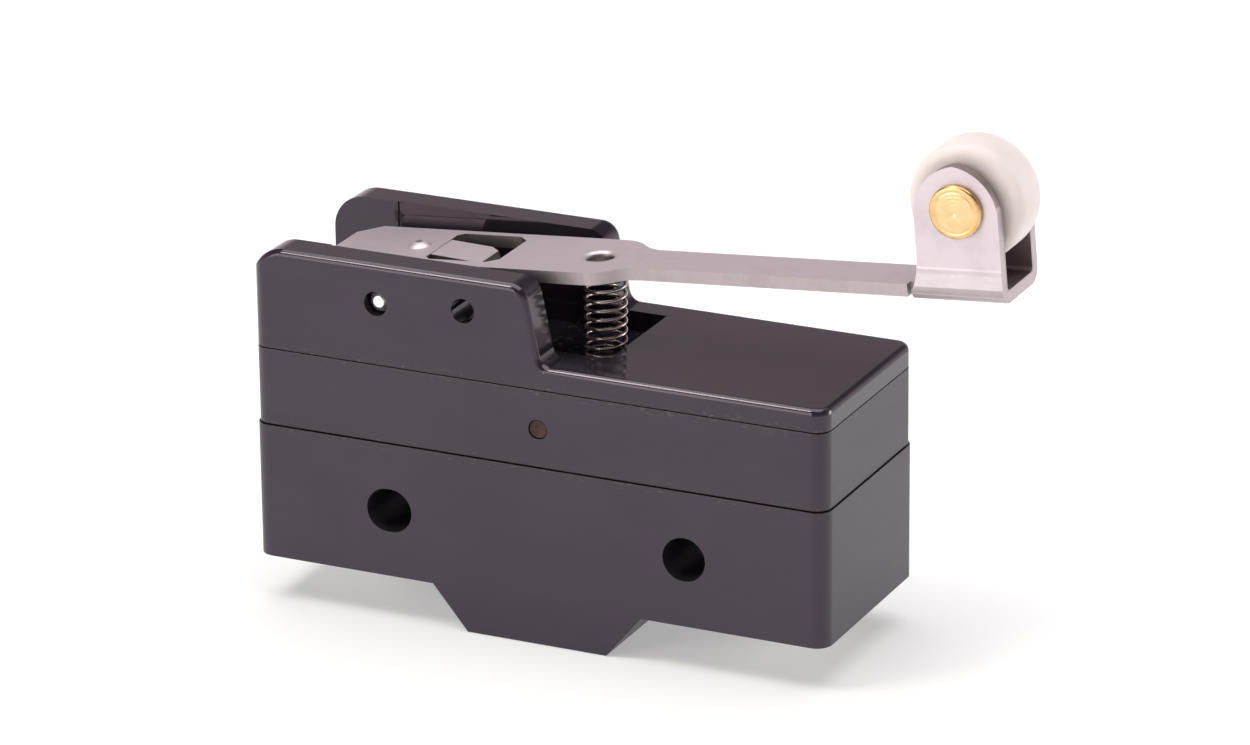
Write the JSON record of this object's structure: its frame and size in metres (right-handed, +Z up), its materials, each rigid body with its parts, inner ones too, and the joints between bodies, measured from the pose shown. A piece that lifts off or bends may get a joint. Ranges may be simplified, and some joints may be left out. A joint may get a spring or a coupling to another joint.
{
  "type": "limit switch",
  "caption": "Basic snap-action switch with a long hinge roller lever, return spring and screw terminals under its moulded body.",
  "frame": {"origin": "on the rear mounting face, midway between the two mounting holes", "axes": "+X along the lever towards the roller, +Y out of the rear mounting face, +Z up from the foot to the lever"},
  "size_m": [0.0623, 0.0174, 0.0433],
  "materials": {
    "phenolic_base": "semi-gloss moulded phenolic, dark brown-black",
    "phenolic_middle": "semi-gloss moulded phenolic, dark brown-black",
    "phenolic_cover": "moulded phenolic with a glossy top, dark brown-black",
    "seal": "matte brown sealing resin",
    "stainless_sheet": "bead-blasted stainless sheet with sheared edges",
    "pin_steel": "ground steel",
    "spring_steel": "drawn stainless spring wire",
    "nylon": "natural white nylon, slightly translucent",
    "rivet_brass": "turned brass, polished",
    "terminal_brass": "stamped brass strip",
    "screw_steel": "zinc-plated steel",
    "spring_bronze": "beryllium copper strip",
    "contact_silver": "silver alloy",
    "plunger_plastic": "moulded red-brown thermosetting plastic"
  },
  "bodies": {
    "body": {"base_case": "phenolic_base", "middle_case": "phenolic_middle", "cover": "phenolic_cover", "seal_plug": "seal", "hinge_pin": "pin_steel", "return_spring": "spring_steel", "common_terminal": "terminal_brass", "open_terminal": "terminal_brass", "closed_terminal": "terminal_brass", "anchor_rivet": "rivet_brass", "open_contact": "contact_silver", "closed_contact": "contact_silver", "common_screw": "screw_steel", "open_screw": "screw_steel", "closed_screw": "screw_steel", "common_washer": "screw_steel", "open_washer": "screw_steel", "closed_washer": "screw_steel"},
    "lever": {"lever": "stainless_sheet", "roller_axle": "rivet_brass"},
    "roller": {"roller": "nylon"},
    "plunger": {"plunger": "plunger_plastic"},
    "blade": {"moving_blade": "spring_bronze", "moving_contact": "contact_silver"},
    "leaf": {"tension_leaf": "spring_bronze"}
  },
  "joints": [
    {"name": "lever_pivot", "type": "hinge", "parent": "body", "child": "lever", "pos_m": [-0.01351, -0.00873, 0.01707], "axis": [0, 1, 0], "range_deg": [0, 9.5], "stiffness_Nm_per_rad": 0.28, "springref_deg": -2.29, "deforming": ["return_spring"]},
    {"name": "roller_spin", "type": "hinge", "parent": "lever", "child": "roller", "pos_m": [0.03292, -0.00873, 0.02942], "axis": [0, 1, 0], "continuous": true},
    {"name": "plunger_slide", "type": "slide", "parent": "body", "child": "plunger", "axis": [0, 0, -1], "range_m": [0, 0.00096]},
    {"name": "blade_flex", "type": "hinge", "parent": "body", "child": "blade", "pos_m": [-0.0176, -0.00873, 0.00726], "axis": [0, 1, 0], "range_deg": [0, 0.81]},
    {"name": "leaf_flex", "type": "hinge", "parent": "body", "child": "leaf", "pos_m": [-0.0169, -0.00873, 0.00726], "axis": [0, 1, 0], "range_deg": [0, 6.45]}
  ],
  "couplings": [
    {"joint": "plunger_slide", "follows": "lever_pivot", "m_per_rad": 0.0057296},
    {"joint": "blade_flex", "follows": "lever_pivot", "ratio": 0.084211},
    {"joint": "leaf_flex", "follows": "lever_pivot", "ratio": 0.67368}
  ]
}
